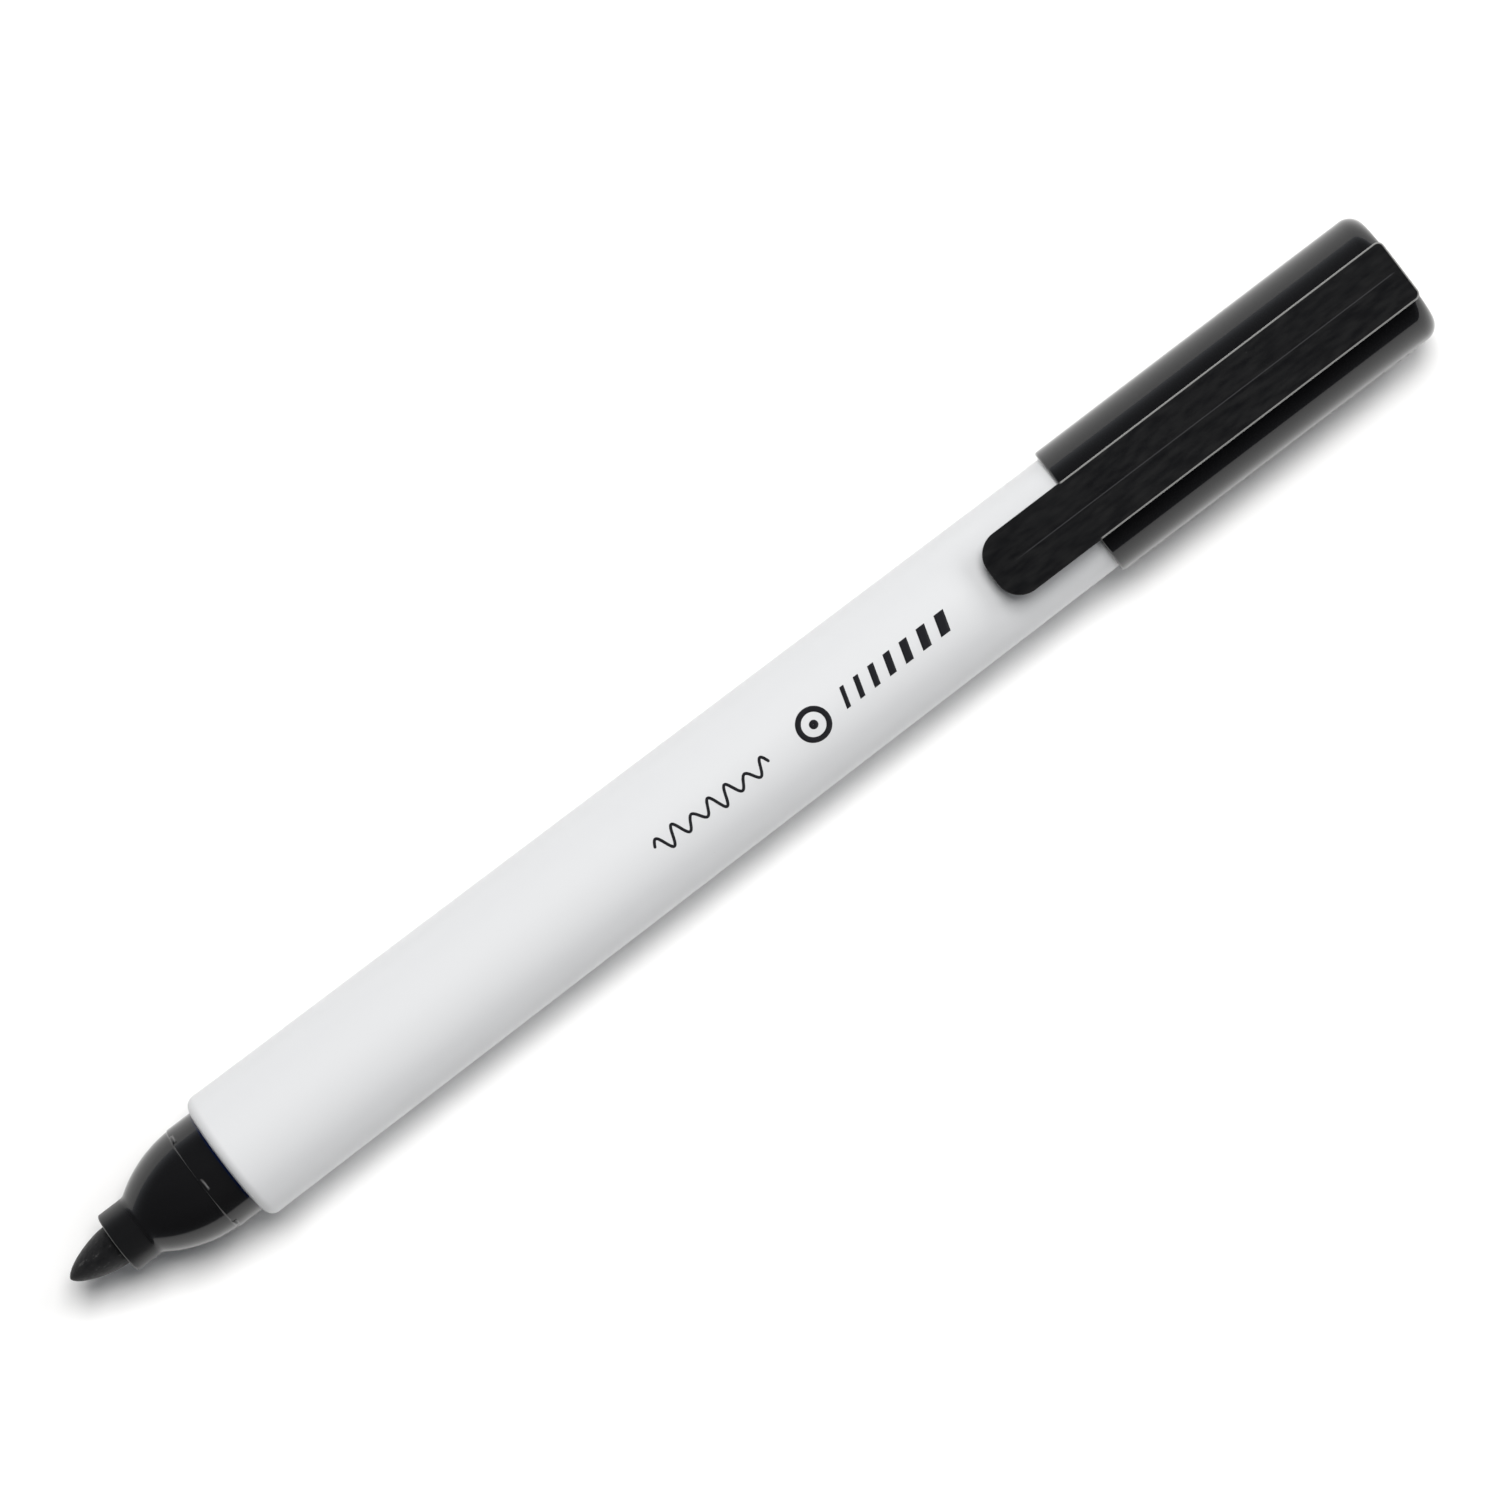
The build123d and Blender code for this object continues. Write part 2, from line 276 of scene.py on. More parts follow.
barrelSet = {
    "frontRadius": 6.058, "rearRadius": 5.544, "boreRadius": 5.08, "boreLength": 12.0, "wall": 0.95,
    "endWall": 1.5, "frontRound": 0.95, "rimRound": 0.10, "rearRound": 0.5,
    "ribs": 6, "ribThickness": 0.8, "ribInner": 4.03, "longRib": 25.0, "stopInner": 1.6, "stopRib": 4.6,
    "look": {"dark": (0.632, 0.639, 0.650), "light": (0.642, 0.649, 0.660), "dust": (0.45, 0.45, 0.44),
             "dustCover": 0.25, "smooth": 0.28, "rough": 0.32, "grainDepth": 0.10, "grainHeight": 0.004,
             "Grain Scale": 3500, "Flow Scale": 60, "Speck Scale": 420, "Speck Share": 0.05, "ior": 1.49},
}
barrelStart, barrelEnd = span("barrel")


def barrelRadiusAt(x):
    # the drafted outside: radius falls in a straight line from the front to the rear
    share = (x - barrelStart) / (barrelEnd - barrelStart)
    return barrelSet["frontRadius"] + (barrelSet["rearRadius"] - barrelSet["frontRadius"]) * share


def ribPlates(count, x0, x1, inner, outer, thickness):
    # flat plates standing on the inside wall: eight corners turned to each rib's place
    corner = np.array([(x, side * thickness / 2, r) for x in (x0, x1) for side in (-1, 1)
                       for r in (inner, outer)])
    turn = np.arange(count)[:, None] * 2 * np.pi / count
    y = corner[:, 1] * np.cos(turn) + corner[:, 2] * np.sin(turn)
    z = corner[:, 2] * np.cos(turn) - corner[:, 1] * np.sin(turn)
    points = np.stack([np.broadcast_to(corner[:, 0], y.shape), y, z + axisZ], axis=-1).reshape(-1, 3)
    sides = np.array([[0, 1, 3, 2], [4, 6, 7, 5], [0, 4, 5, 1], [2, 3, 7, 6], [0, 2, 6, 4], [1, 5, 7, 3]])
    return points, (sides[None] + 8 * np.arange(count)[:, None, None]).reshape(-1, 4)


def makeBarrel():
    s = barrelSet
    cavityEnd, boreEnd = barrelEnd - s["endWall"], barrelStart + s["boreLength"]
    run = softCorners([
        (barrelEnd, 0, 0), (barrelEnd, s["rearRadius"], s["rearRound"]),
        (barrelStart, s["frontRadius"], s["frontRound"]), (barrelStart, s["boreRadius"], s["rimRound"]),
        (boreEnd, s["boreRadius"], 0), (boreEnd, barrelRadiusAt(boreEnd) - s["wall"] - 0.05, 0),
        (cavityEnd, barrelRadiusAt(cavityEnd) - s["wall"], 0.3), (cavityEnd, 0, 0)], closed=False, steps=14)
    tube = turned(run, closed=False)
    wallMiddle = barrelRadiusAt(cavityEnd) - s["wall"] / 2
    longRibs = ribPlates(s["ribs"], cavityEnd - s["longRib"], cavityEnd, s["ribInner"], wallMiddle,
                         s["ribThickness"])
    stopRibs = ribPlates(s["ribs"], cavityEnd - s["stopRib"], cavityEnd + 0.2, s["stopInner"], wallMiddle,
                         s["ribThickness"] * 0.98)
    material = plastic("barrelWhite", s["look"])[0]
    addPiece("barrelTube", gathered(tube, longRibs, stopRibs), material, "pen", ["barrel"])


makeBarrel()
print("barrel done")

printSet = {
    "proud": 0.012,                      # ink thickness
    "waveStart": -8.7, "waveLength": 12.0, "waveY": -0.95, "waveHeight": 0.85, "waveTurns": 6.5,
    "waveStroke": 0.26, "swellLeast": 0.55, "swellStart": 0.15, "swells": 2.3,
    "ringX": 8.1, "ringY": -0.70, "ringRadius": 1.32, "ringStroke": 0.50, "dotRadius": 0.40,
    "barStart": 11.1, "barLength": 11.4, "bars": 7, "barHeight": 1.85, "barY": -0.46, "barLean": 0.55,
    "barWidths": (0.42, 0.98),           # first and last bar
    "ink": (0.010, 0.010, 0.012),
}


def wrapped(x, across, lift=0.0):
    # a flat drawing laid round the barrel: distance across becomes an angle at the local radius
    return roundPen(x, barrelRadiusAt(x) + lift, across / barrelRadiusAt(x))


def inkPatch(x, across):
    # a printed patch from two grids of drawing coordinates: a top layer one ink thickness above the barrel
    # and the same patch just under its skin
    return closedPad(wrapped(x, across, printSet["proud"]), wrapped(x, across, -printSet["proud"]))


def strokeAlong(x, across, width, count=5):
    # a pen stroke: the path's points moved sideways along its normal by -width/2 to +width/2, with round
    # ends made by narrowing the last half width as a half circle
    dx, dy = np.gradient(x), np.gradient(across)
    length = np.hypot(dx, dy)
    travelled = np.cumsum(length) - length[0]
    fromEnd = np.minimum(travelled, travelled[-1] - travelled)
    half = width / 2 * np.sqrt(1 - np.clip(1 - fromEnd / (width / 2), 0, 1) ** 2)
    side = np.linspace(-1, 1, count)[None] * half[:, None]
    return inkPatch(x[:, None] - side * (dy / length)[:, None],
                    across[:, None] + side * (dx / length)[:, None])


def makePrint():
    s = printSet
    # a sample line: height follows a sine whose size swells and falls along the line
    t = np.linspace(0, 1, 420)
    rise = np.sin(np.pi * (s["swellStart"] + s["swells"] * t)) ** 2
    swell = s["swellLeast"] + (1 - s["swellLeast"]) * rise
    wave = strokeAlong(s["waveStart"] + s["waveLength"] * t,
                       s["waveY"] + s["waveHeight"] * swell * np.sin(2 * np.pi * s["waveTurns"] * t),
                       s["waveStroke"])
    # a ring round a dot: the bullet nib seen end on
    turn = np.linspace(0, 2 * np.pi, 73)[:, None]
    ringWide = s["ringRadius"] + s["ringStroke"] * np.linspace(-0.5, 0.5, 4)[None]
    ring = inkPatch(s["ringX"] + ringWide * np.cos(turn), s["ringY"] + ringWide * np.sin(turn))
    dotWide = s["dotRadius"] * np.array([0.02, 0.5, 1.0])[None]
    dot = inkPatch(s["ringX"] + dotWide * np.cos(turn), s["ringY"] + dotWide * np.sin(turn))
    # leaning bars, each a little wider than the one before, as a line-width scale
    bars = []
    widths = np.linspace(*s["barWidths"], s["bars"])
    gap = (s["barLength"] - widths.sum() - s["barLean"]) / (s["bars"] - 1)
    starts = s["barStart"] + np.cumsum(widths + gap) - widths - gap
    for start, width in zip(starts, widths):
        along, up = np.meshgrid(np.linspace(0, width, 5), np.linspace(0, 1, 9))
        bars.append(inkPatch(start + along + s["barLean"] * up, s["barY"] + s["barHeight"] * (up - 0.5)))
    material, tree, shader = newMaterial("printInk")
    skin = addNode(tree, "ShaderNodeGroup", node_tree=mouldedSkin)
    skin.inputs["Grain Scale"].default_value = 5000
    tree.links.new(blendColours(tree, skin.outputs["Flow"], s["ink"], [c * 1.5 for c in s["ink"]]),
                   shader.inputs["Base Color"])
    tree.links.new(rescale(tree, skin.outputs["Grain"], 0.3, 0.7, 0.42, 0.55), shader.inputs["Roughness"])
    addPiece("printedMarks", gathered(wave, ring, dot, *bars), material, "pen")


makePrint()
print("print done")

noseSet = {
    "collarRadius": 2.86, "collarEdge": 0.20, "neckRound": 1.0, "domeArc": 11.6, "domeRadius": 5.0,
    "step": 14.03,                       # nib tip to the step
    "domeLead": 0.3,                     # the dome's centre is this far behind the step
    "bandRadius": 5.08, "stepRound": 0.048, "chamberInset": 1.2, "chamberRadius": 3.93,
    "holderLength": 7.5, "holderRadius": 4.03, "boreRadius": 1.90,
    "nubs": 6, "nubLength": 1.30, "nubWidth": 0.50, "nubHeight": 0.10, "nubTurn": -5.7,
    "nubSetBack": 0.20, "nubRoot": 0.3, "nubSink": 0.06,
    "highlightStart": 0.45, "highlightSpread": 0.28, "highlightBow": 0.35, "highlightColour": (0.12, 0.12, 0.12),   # painted highlight on the nubs' rear slopes
    "jointLine": 0.16, "jointSoft": 0.05, "jointColour": (0.0012, 0.0050, 0.0290),   # before the barrel
    "look": {"dark": (0.0050, 0.0050, 0.0055), "light": (0.0075, 0.0075, 0.0080), "dust": (0.10, 0.10, 0.10),
             "dustCover": 0.35, "smooth": 0.07, "rough": 0.13, "grainDepth": 0.06, "grainHeight": 0.003,
             "Grain Scale": 2500, "Flow Scale": 120, "Speck Scale": 900, "Speck Share": 0.06, "ior": 1.50},
    "collarDull": 0.30, "collarBlend": (-0.1, 0.5),          # added roughness, and where it ends at the neck
    "rimColour": (0.060, 0.060, 0.058), "rimBlend": (0.05, 0.12),   # the collar's front rim is rubbed
}
noseStart, noseEnd = span("nose_section")
tipX = span("nib")[0]
stepX = tipX + noseSet["step"]


def snapNubs():
    # small pads behind the step. Over a pad's length a and width b, each from -1 to 1:
    # height = nubHeight * (1 - a^2) * (1 - b^2), and a crescent facing the barrel carries a painted highlight,
    # by exp(-((b - start + bow * a^2) / spread)^2) * (1 - a^2), from the highlight's start, bow and spread
    s = noseSet
    a, b = np.meshgrid(np.linspace(-1, 1, 25), np.linspace(-1, 1, 17), indexing="ij")
    lift = (s["nubHeight"] * (1 - a ** 2) * (1 - b ** 2)
            - s["nubSink"] * np.maximum(np.abs(a), np.abs(b)) ** 12)      # the pad's edge dips under the band
    crescent = np.exp(-((b - s["highlightStart"] + s["highlightBow"] * a ** 2) / s["highlightSpread"]) ** 2) * (1 - a ** 2)
    x = stepX + s["nubSetBack"] + b * s["nubWidth"] / 2
    root = np.full_like(a, s["bandRadius"] - s["nubRoot"])
    pads = []
    for n in range(s["nubs"]):
        turn = np.radians(s["nubTurn"] + n * 360 / s["nubs"]) + a * s["nubLength"] / 2 / s["bandRadius"]
        pads.append(closedPad(roundPen(x, s["bandRadius"] + lift, turn), roundPen(x, root, turn)))
    return gathered(*pads), np.tile(np.concatenate([crescent.ravel(), np.zeros(a.size)]), s["nubs"])


def makeNose():
    # collar, hollow neck, dome and band. The neck's arc stands on the collar and touches the dome's circle:
    # its centre is neckRound above the collar and domeArc + neckRound from the dome's centre
    s = noseSet
    domeX, domeR = stepX + s["domeLead"], s["domeRadius"] - s["domeArc"]
    neckR = s["collarRadius"] + s["neckRound"]
    apart = s["domeArc"] + s["neckRound"]
    neckX = domeX - math.sqrt(apart ** 2 - (neckR - domeR) ** 2)
    touch = math.degrees(math.atan2(domeR - neckR, domeX - neckX))
    neck = arcPoints(neckX, neckR, s["neckRound"], -90, touch, 12)
    dome = arcPoints(domeX, domeR, s["domeArc"], 180 + touch,
                     math.degrees(math.acos((stepX - domeX) / s["domeArc"])), 40)
    chamberX, holderX = stepX + s["chamberInset"], noseEnd - s["holderLength"]
    corners = [
        np.array([(noseStart, s["boreRadius"], 0.06), (noseStart, s["collarRadius"], s["collarEdge"]),
                  (neckX - 0.05, s["collarRadius"], 0)]),
        neck, dome,
        np.array([(stepX, s["bandRadius"], s["stepRound"]), (noseEnd, s["bandRadius"], 0.15),
                  (noseEnd, s["holderRadius"], 0.1), (holderX, s["holderRadius"], 0),
                  (holderX, s["chamberRadius"], 0), (chamberX, s["chamberRadius"], 0.3),
                  (chamberX, s["boreRadius"], 0.1)])]
    run = softCorners(np.vstack(corners), closed=True)
    material, tree, shader, colour, roughness = plastic("noseGloss", s["look"])
    # the collar is a little duller than the dome
    along = placeAlong(tree)[0]
    collarShare = rescale(tree, along, *[(neckX + x) * mm for x in s["collarBlend"]], 1.0, 0.0)
    dull = maths(tree, "ADD", roughness, maths(tree, "MULTIPLY", collarShare, s["collarDull"]))
    tree.links.new(dull, shader.inputs["Roughness"])
    # a thin blue-black line of ink where the band enters the barrel, then the rubbed rim, and the painted
    # highlight on the nubs
    inkX = barrelStart - s["jointLine"]
    joint = rescale(tree, along, (inkX - s["jointSoft"]) * mm, inkX * mm, 0.0, 1.0)
    inked = blendColours(tree, joint, colour, s["jointColour"])
    rim = rescale(tree, along, *[(noseStart + x) * mm for x in s["rimBlend"]], 1.0, 0.0)
    rimmed = blendColours(tree, rim, inked, s["rimColour"])
    # painted highlight on the nubs' rear slopes, read from the point attribute
    paintedHighlight = addNode(tree, "ShaderNodeAttribute", attribute_name="paintedHighlight").outputs["Fac"]
    tree.links.new(blendColours(tree, paintedHighlight, rimmed, s["highlightColour"]), shader.inputs["Base Color"])
    shell, (nubs, crescent) = turned(run, closed=True, sides=256), snapNubs()
    addPiece("noseShell", gathered(shell, nubs), material, "pen", ["nose_section"],
             {"paintedHighlight": np.concatenate([np.zeros(len(shell[0])), crescent])})


makeNose()
print("nose done")

nibSet = {
    "radius": 1.87, "taper": 4.7, "bluntness": 1.5, "roundness": 0.62, "point": 9.0, "pointRadius": 1.03,
    "tipCrowding": 1.4, "lump": 0.012,
    "waves": ((7, 5.1, 0.0), (13, -8.7, 1.3), (23, 14.9, 0.0)),   # around, along (per mm), start
    "dark": (0.0045, 0.0045, 0.0050), "light": (0.014, 0.014, 0.0145), "fleck": (0.045, 0.045, 0.045),
    "bumpHeight": 0.04, "bump": 0.6,
}


def makeNib():
    # bullet: radius = full * (1 - (1 - s)^bluntness)^roundness, where s is 0 at the tip and 1 at the shank
    s = nibSet
    rear = span("nib")[1]
    share = (1 - np.cos(np.linspace(0, np.pi / 2, 80))) ** s["tipCrowding"]    # closer together at the tip
    bullet = np.column_stack([tipX + s["taper"] * share,
                              s["radius"] * (1 - (1 - share) ** s["bluntness"]) ** s["roundness"]])
    shank = np.column_stack([np.linspace(tipX + s["taper"] + 0.1, rear - s["point"], 30),
                             np.full(30, s["radius"])])
    run = np.vstack([bullet, shank, [(rear, s["pointRadius"]), (rear, 0)]])

    def lumps(x, turn, radius):
        # packed fibres: three crossed waves, less of them towards the tip
        waves = [np.sin(around * turn + along * x + start) for around, along, start in s["waves"]]
        return s["lump"] * np.mean(waves, axis=0) * np.minimum(radius / s["radius"], 1)
    material, tree, shader = newMaterial("inkedFelt")
    felt = addNode(tree, "ShaderNodeGroup", node_tree=fibreFelt)
    fleck = rescale(tree, felt.outputs["Shade"], 0.80, 0.97, 0.0, 1.0)
    fibre = blendColours(tree, felt.outputs["Shade"], s["dark"], s["light"])
    tree.links.new(blendColours(tree, fleck, fibre, s["fleck"]), shader.inputs["Base Color"])
    tree.links.new(rescale(tree, felt.outputs["Shade"], 0, 1, 0.70, 0.95), shader.inputs["Roughness"])
    bump = addNode(tree, "ShaderNodeBump", {"Height": felt.outputs["Height"], "Strength": s["bump"],
                                            "Distance": s["bumpHeight"] * mm})
    tree.links.new(bump.outputs[0], shader.inputs["Normal"])
    shader.inputs["Sheen Weight"].default_value = 0.15
    addPiece("bulletNib", turned(run, closed=False, sides=160, lumps=lumps), material, "pen", ["nib"])


makeNib()
print("nib done")

storeSet = {
    "coreRadius": 3.9, "coreRound": 0.15, "wrap": 0.08, "socketRadius": 1.88, "socketEnd": 1.034,
    "coreDark": (0.012, 0.012, 0.014), "coreLight": (0.05, 0.05, 0.055),
    "look": {"dark": (0.62, 0.65, 0.69), "light": (0.70, 0.72, 0.75), "dust": (0.3, 0.3, 0.3),
             "dustCover": 0.2, "smooth": 0.12, "rough": 0.25, "grainDepth": 0.2, "grainHeight": 0.01,
             "Grain Scale": 900, "Flow Scale": 200, "Speck Scale": 900, "Speck Share": 0.05, "ior": 1.57},
}


def makeStore():
    # fibre core with the socket that the nib's point has pushed into it, inside a thin film sleeve
    s = storeSet
    start, end = span("ink_reservoir")
    nibRear = span("nib")[1]
    mouth = s["socketRadius"]
    taperStart = nibRear - nibSet["point"]
    if start > taperStart:
        mouth += (s["socketEnd"] - mouth) * (start - taperStart) / nibSet["point"]
    core = softCorners([(nibRear, 0, 0), (nibRear, s["socketEnd"], 0), (start, mouth, 0),
                        (start, s["coreRadius"], s["coreRound"]), (end, s["coreRadius"], s["coreRound"]),
                        (end, 0, 0)], closed=False)
    outer = s["coreRadius"] + s["wrap"]
    sleeve = softCorners([(start, s["coreRadius"], 0), (start, outer, 0), (end, outer, 0),
                          (end, s["coreRadius"], 0)], closed=True)
    material, tree, shader = newMaterial("reservoirFelt")
    felt = addNode(tree, "ShaderNodeGroup", node_tree=fibreFelt)
    felt.inputs["Grain Scale"].default_value = 3500
    felt.inputs["Streak Scale"].default_value = 1500
    tree.links.new(blendColours(tree, felt.outputs["Shade"], s["coreDark"], s["coreLight"]),
                   shader.inputs["Base Color"])
    tree.links.new(rescale(tree, felt.outputs["Shade"], 0, 1, 0.8, 0.95), shader.inputs["Roughness"])
    addPiece("reservoirCore", turned(core, closed=False, sides=96), material, "pen", ["ink_reservoir"])
    film = plastic("sleeveFilm", s["look"])[0]
    addPiece("reservoirSleeve", turned(sleeve, closed=True, sides=96), film, "pen", ["reservoir_wrap"])


makeStore()
print("reservoir done")

capSet = {
    "fit": 0.05, "endRound": 1.5, "mouthRound": 0.25, "leadIn": 0.12, "endWall": 1.8, "hollowRadius": 5.2,
    "gateRadius": 0.9, "gateDepth": 0.12,
    "pivotInset": 4.25, "pivotDepth": 0.44, "saddleFront": 4.2, "saddleRear": 3.4, "saddleHalf": 2.75,
    "saddleFloor": 1.55, "saddleTop": 0.30, "saddleRound": 0.2, "throatHalf": 0.85, "pocketHalf": 2.05,
    "look": {"dark": (0.0045, 0.0045, 0.0050), "light": (0.0070, 0.0070, 0.0075), "dust": (0.12, 0.12, 0.12),
             "dustCover": 0.35, "smooth": 0.05, "rough": 0.09, "grainDepth": 0.05, "grainHeight": 0.003,
             "Grain Scale": 1800, "Flow Scale": 110, "Speck Scale": 800, "Speck Share": 0.06, "ior": 1.50},
}
capStart, capEnd = span("cap_shell")
sealStart, sealEnd = span("cap_seal")
clipStart, clipEnd = span("clip")
pivotX = clipEnd - capSet["pivotInset"]
pivotZ = capRadius - capSet["pivotDepth"]


def roundedOutline(halfX, halfY, corner, steps=8, sidePoints=10):
    # a rectangle with round corners, as points in order: side points then corner arcs, centred on zero
    sides = []
    for quarter, (cx, cy) in enumerate([(1, 1), (-1, 1), (-1, -1), (1, -1)]):
        angle = np.radians(np.linspace(0, 90, steps + 1) + 90 * quarter)
        sides.append(np.column_stack([cx * (halfX - corner) + corner * np.cos(angle),
                                      cy * (halfY - corner) + corner * np.sin(angle)]))
    loop = np.vstack(sides)
    after = np.roll(loop, -1, axis=0)
    blocks = []
    for start, stop, isSide in zip(loop, after, (np.arange(len(loop)) % (steps + 1)) == steps):
        share = np.linspace(0, 1, sidePoints + 1)[:-1, None] if isSide else np.zeros((1, 1))
        blocks.append(start + (stop - start) * share)
    return np.vstack(blocks)


def clipSaddle(clipBottom):
    # a ring of wall round the clip's foot: outer and inner outlines joined over a softened top
    s = capSet
    outer = roundedOutline((s["saddleFront"] + s["saddleRear"]) / 2, s["saddleHalf"], 0.3)
    inner = roundedOutline(s["throatHalf"], s["pocketHalf"], 0.12)
    outer[:, 0] += (s["saddleRear"] - s["saddleFront"]) / 2
    low, high, soft = pivotZ - s["saddleFloor"], clipBottom - s["saddleTop"], s["saddleRound"]
    angle = np.linspace(0, np.pi / 2, 6)
    inward = np.concatenate([[0, 0], soft * (1 - np.cos(angle))])
    height = np.concatenate([[low, high - soft - 0.05], high - soft + soft * np.sin(angle)])
    half = np.array([(s["saddleFront"] + s["saddleRear"]) / 2, s["saddleHalf"]])
    middle = np.array([(s["saddleRear"] - s["saddleFront"]) / 2, 0])
    rings = [np.column_stack([middle + (outer - middle) * (1 - back / half), np.full(len(outer), z)])
             for back, z in zip(inward, height)]
    rings += [np.column_stack([inner, np.full(len(inner), z)]) for z in (high, low)]
    points = np.stack(rings) + np.array([pivotX, 0, axisZ])
    return points.reshape(-1, 3), stitch(len(rings), len(outer), True, True)


def makeCap():
    s = capSet
    mouthRadius, seatRadius = barrelRadiusAt(capStart) + s["fit"], barrelRadiusAt(barrelEnd) + s["fit"]
    seatEnd, hollowEnd = sealStart + 1.25, capEnd - s["endWall"]
    run = softCorners([
        (capEnd - s["gateDepth"], 0, 0), (capEnd - s["gateDepth"], s["gateRadius"] - 0.1, 0.08),
        (capEnd, s["gateRadius"] + 0.1, 0.08), (capEnd, capRadius, s["endRound"]),
        (capStart, capRadius, s["mouthRound"]), (capStart, mouthRadius, s["leadIn"]),
        (barrelEnd, seatRadius, 0), (seatEnd, seatRadius, 0.05), (seatEnd, s["hollowRadius"], 0.05),
        (hollowEnd, s["hollowRadius"], 0.3), (hollowEnd, 0, 0)], closed=False, steps=14)
    clipBottom = clipSet["bottom"]
    addPiece("capShell", gathered(turned(run, closed=False, sides=256), clipSaddle(clipBottom)),
             plastic("capGloss", s["look"])[0], "cap", ["cap_shell"])


sealSet = {
    "flangeRadius": 5.544, "flangeLength": 1.2, "radius": 2.95, "beadRadius": 2.87, "wall": 0.65,
    "beadStart": 0.3, "beadLength": 0.5,
    "look": {"dark": (0.66, 0.66, 0.63), "light": (0.74, 0.74, 0.71), "dust": (0.4, 0.4, 0.4),
             "dustCover": 0.3, "smooth": 0.38, "rough": 0.5, "grainDepth": 0.15, "grainHeight": 0.006,
             "Grain Scale": 3000, "Flow Scale": 200, "Speck Scale": 900, "Speck Share": 0.06, "ior": 1.50},
}


def makeSeal():
    s = sealSet
    outer, bottom = s["radius"] + s["wall"], sealEnd - s["wall"]
    beadStart = sealStart + s["beadStart"]
    beadEnd = beadStart + s["beadLength"]
    run = softCorners([
        (sealEnd, 0, 0), (sealEnd, outer, 0.5), (sealStart + s["flangeLength"], outer, 0.1),
        (sealStart + s["flangeLength"], s["flangeRadius"], 0.1), (sealStart, s["flangeRadius"], 0.15),
        (sealStart, s["beadRadius"] + 0.25, 0.05), (beadStart, s["beadRadius"], 0.04),
        (beadEnd, s["beadRadius"], 0.03), (beadEnd + 0.05, s["radius"], 0), (bottom, s["radius"], 0.25),
        (bottom, 0, 0)], closed=False)
    addPiece("sealThimble", turned(run, closed=False, sides=128), plastic("sealSoft", s["look"])[0],
             "cap_carrier", ["cap_seal"])


clipSet = {
    "half": 2.95, "bottom": 6.79, "edgeThickness": 1.16, "ridge": 0.20, "ridgeSoft": 0.05,
    "tipCorner": 2.2, "rearCorner": 0.6, "edgeRound": 0.12, "underRound": 0.15,
    "ridgeFadeStart": 1.9, "ridgeFadeEnd": 7.1,      # from the tip
    "tipDrop": 0.40, "tipSlope": 7.0,
    "bumpInset": 2.6, "bumpRadius": 1.5, "bumpHalf": 1.8, "bumpGap": 0.42,
    "footRadius": 1.0, "neckHalf": 0.70, "footHalf": 2.0,
    "look": {"dark": (0.0045, 0.0045, 0.0052), "light": (0.0125, 0.0125, 0.0128), "dust": (0.06, 0.06, 0.06),
             "dustCover": 0.35, "smooth": 0.40, "rough": 0.50, "grainDepth": 0.45, "grainHeight": 0.012,
             "Grain Scale": 7000, "Flow Scale": 2200, "Speck Scale": 900, "Speck Share": 0.07, "ior": 1.49,
             "shine": 0.35},
    "spineInset": (1.3, 0.2),             # the spine ends this far inside the tip and the rear
    # painted highlights: a thin pale line along the ridge, and pale lines on both long edges
    "ridgeHighlight": (0.032, 0.032, 0.034), "ridgeHighlightHalf": 0.07, "ridgeHighlightStart": 1.8, "ridgeHighlightFull": 4.5,
    "ridgeHighlightStop": (1.1, 0.5), "ridgeHighlightAbove": (0.7, 0.8), "edgeHighlightFade": 0.3,
    "edgeHighlight": (0.22, 0.22, 0.215),   # both long edges carry a pale painted highlight beside the cap
}


def clipTop(x, y):
    # shallow gable: full height less ridge * |y| / half. At the tip the ridge dies and the top curves down
    s = clipSet
    fromTip = x - clipStart
    fade = np.clip((fromTip - s["ridgeFadeStart"]) / (s["ridgeFadeEnd"] - s["ridgeFadeStart"]), 0, 1)
    fade = fade * fade * (3 - 2 * fade)
    away = np.sqrt(y * y + s["ridgeSoft"] ** 2) - s["ridgeSoft"]
    dip = s["tipDrop"] * np.clip(1 - fromTip / s["tipSlope"], 0, 1) ** 1.4
    return (s["bottom"] + s["edgeThickness"] + s["ridge"] * (1 - away / s["half"])
            - s["ridge"] * (1 - fade) * (1 - away / s["half"]) * 0.5 - dip)


def clipOutline(inset):
    # the clip seen from above, moved in by inset: large corners at the tip, small ones at the rear.
    # Long sides are sampled often enough for the curve at the tip
    s = clipSet
    half = s["half"] - inset
    front, back = clipStart + inset, clipEnd - inset
    big, small = s["tipCorner"] - inset, s["rearCorner"] - inset
    ease = np.sin(np.linspace(-np.pi / 2, np.pi / 2, 15)) / 2 + 0.5

    def corner(cx, cy, radius, start, steps):
        angle = np.radians(np.linspace(start, start + 90, steps + 1))
        return np.column_stack([cx + radius * np.cos(angle), cy + radius * np.sin(angle)])

    def line(first, last, share):
        return (np.array(first) + (np.array(last) - np.array(first)) * share[:, None])[1:-1]
    longShare = np.concatenate([np.linspace(0, 0.25, 25)[:-1], np.linspace(0.25, 1, 40)])
    return np.vstack([
        corner(back - small, half - small, small, 0, 8),
        line((back - small, half), (front + big, half), 1 - longShare[::-1]),
        corner(front + big, half - big, big, 90, 20),
        line((front, half - big), (front, big - half), ease),
        corner(front + big, big - half, big, 180, 20),
        line((front + big, -half), (back - small, -half), longShare),
        corner(back - small, small - half, small, 270, 8),
        line((back, small - half), (back, half - small), ease)])


